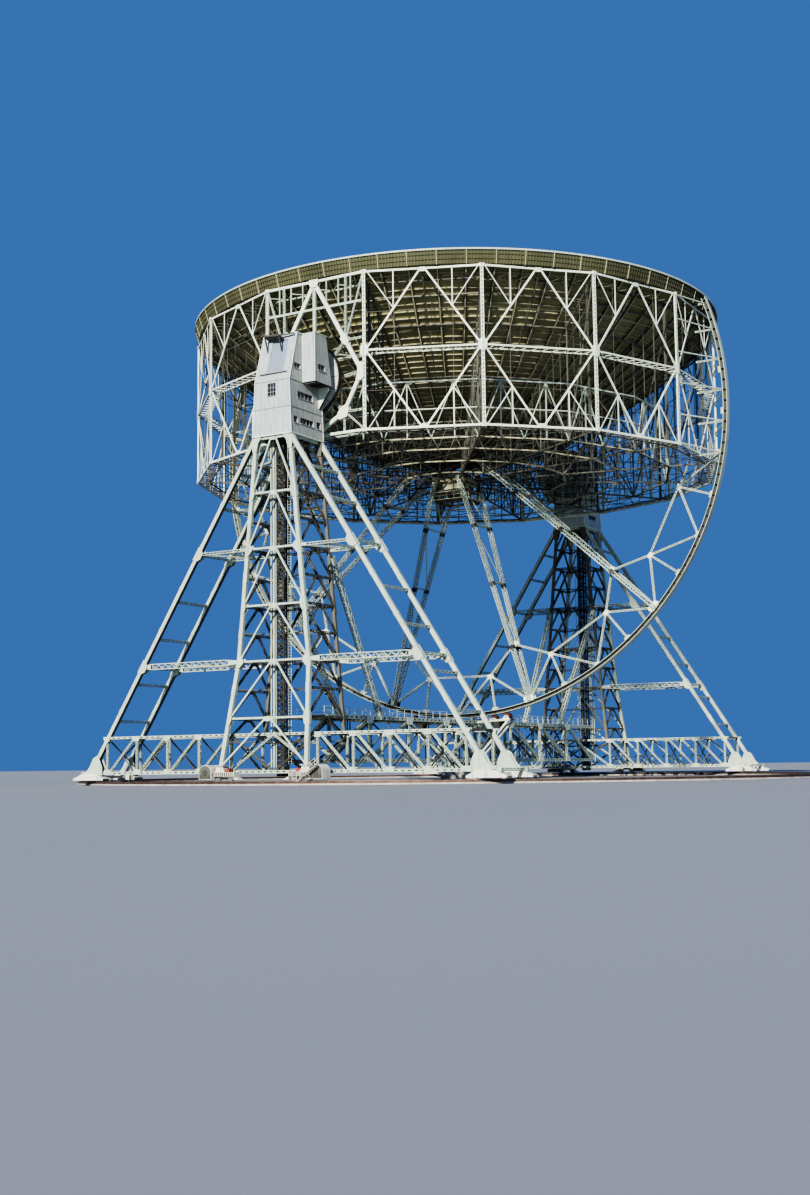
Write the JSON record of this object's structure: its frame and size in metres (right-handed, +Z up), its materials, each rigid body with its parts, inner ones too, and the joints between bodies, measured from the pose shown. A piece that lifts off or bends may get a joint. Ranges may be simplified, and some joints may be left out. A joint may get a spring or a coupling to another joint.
{
  "type": "steerable radio telescope dish, 1:10 scale model",
  "caption": "Paraboloid bowl in a braced drum with a stabilising wheel, on trunnions between two lattice towers that turn together on two circular rails; 1:10 scale model.",
  "frame": {"origin": "centre of the azimuth pivot, on the ground", "axes": "+Z up along the azimuth axis; X along the elevation axis from the near tower (-X) to the far tower (+X); Y across, in the plane of the stabilising wheel"},
  "size_m": [10.79, 10.79, 6.53],
  "materials": {
    "lattice": "weathered light grey-green paint",
    "dark_lattice": "dark weathered paint",
    "bowl": "matt olive-grey paint on welded sheet",
    "cladding": "ribbed grey-blue sheet cladding",
    "housing": "off-white paint with grime",
    "rail": "rusted sides with a polished running face",
    "pivot": "grey casting on a concrete-coloured base",
    "laboratory": "light grey paint"
  },
  "bodies": {
    "track": {"outer_rail": "rail", "inner_rail": "rail", "pivot_base": "pivot"},
    "turntable": {"near_tower": "lattice", "near_raking_legs_a": "lattice", "near_raking_legs_b": "lattice", "near_base_girder": "lattice", "near_machine_house": "cladding", "near_lift_shaft": "dark_lattice", "near_drive_bogie_a": "housing", "near_drive_bogie_b": "housing", "near_end_bogies_a": "housing", "near_end_bogies_b": "housing", "far_tower": "lattice", "far_raking_legs_a": "lattice", "far_raking_legs_b": "lattice", "far_base_girder": "lattice", "far_machine_house": "cladding", "far_lift_shaft": "dark_lattice", "far_drive_bogie_a": "housing", "far_drive_bogie_b": "housing", "far_end_bogies_a": "housing", "far_end_bogies_b": "housing", "diametral_girder": "lattice", "ring_rollers": "dark_lattice"},
    "reflector": {"bowl_skin": "bowl", "drum_sides_1": "lattice", "drum_sides_2": "lattice", "drum_sides_3": "lattice", "drum_sides_4": "lattice", "drum_sides_5": "lattice", "drum_sides_6": "lattice", "near_trunnion_frame": "lattice", "far_trunnion_frame": "lattice", "hub_frame": "lattice", "bottom_grid": "dark_lattice", "aerial_mast": "lattice", "stabilising_wheel": "lattice", "wheel_booms_1": "lattice", "wheel_booms_2": "lattice", "wheel_booms_3": "lattice", "wheel_booms_4": "lattice"},
    "cabin": {"laboratory": "laboratory"}
  },
  "joints": [
    {"name": "azimuth", "type": "hinge", "parent": "track", "child": "turntable", "pos_m": [0, 0, 0.16], "axis": [0, 0, 1], "range_deg": [-180, 180]},
    {"name": "elevation", "type": "hinge", "parent": "turntable", "child": "reflector", "pos_m": [0, 0, 5], "axis": [1, 0, 0], "range_deg": [-90, 90]},
    {"name": "laboratory_level", "type": "hinge", "parent": "reflector", "child": "cabin", "pos_m": [0, 0, 4.32], "axis": [1, 0, 0], "range_deg": [-90, 90]}
  ],
  "couplings": [
    {"joint": "laboratory_level", "follows": "elevation", "ratio": -1}
  ]
}
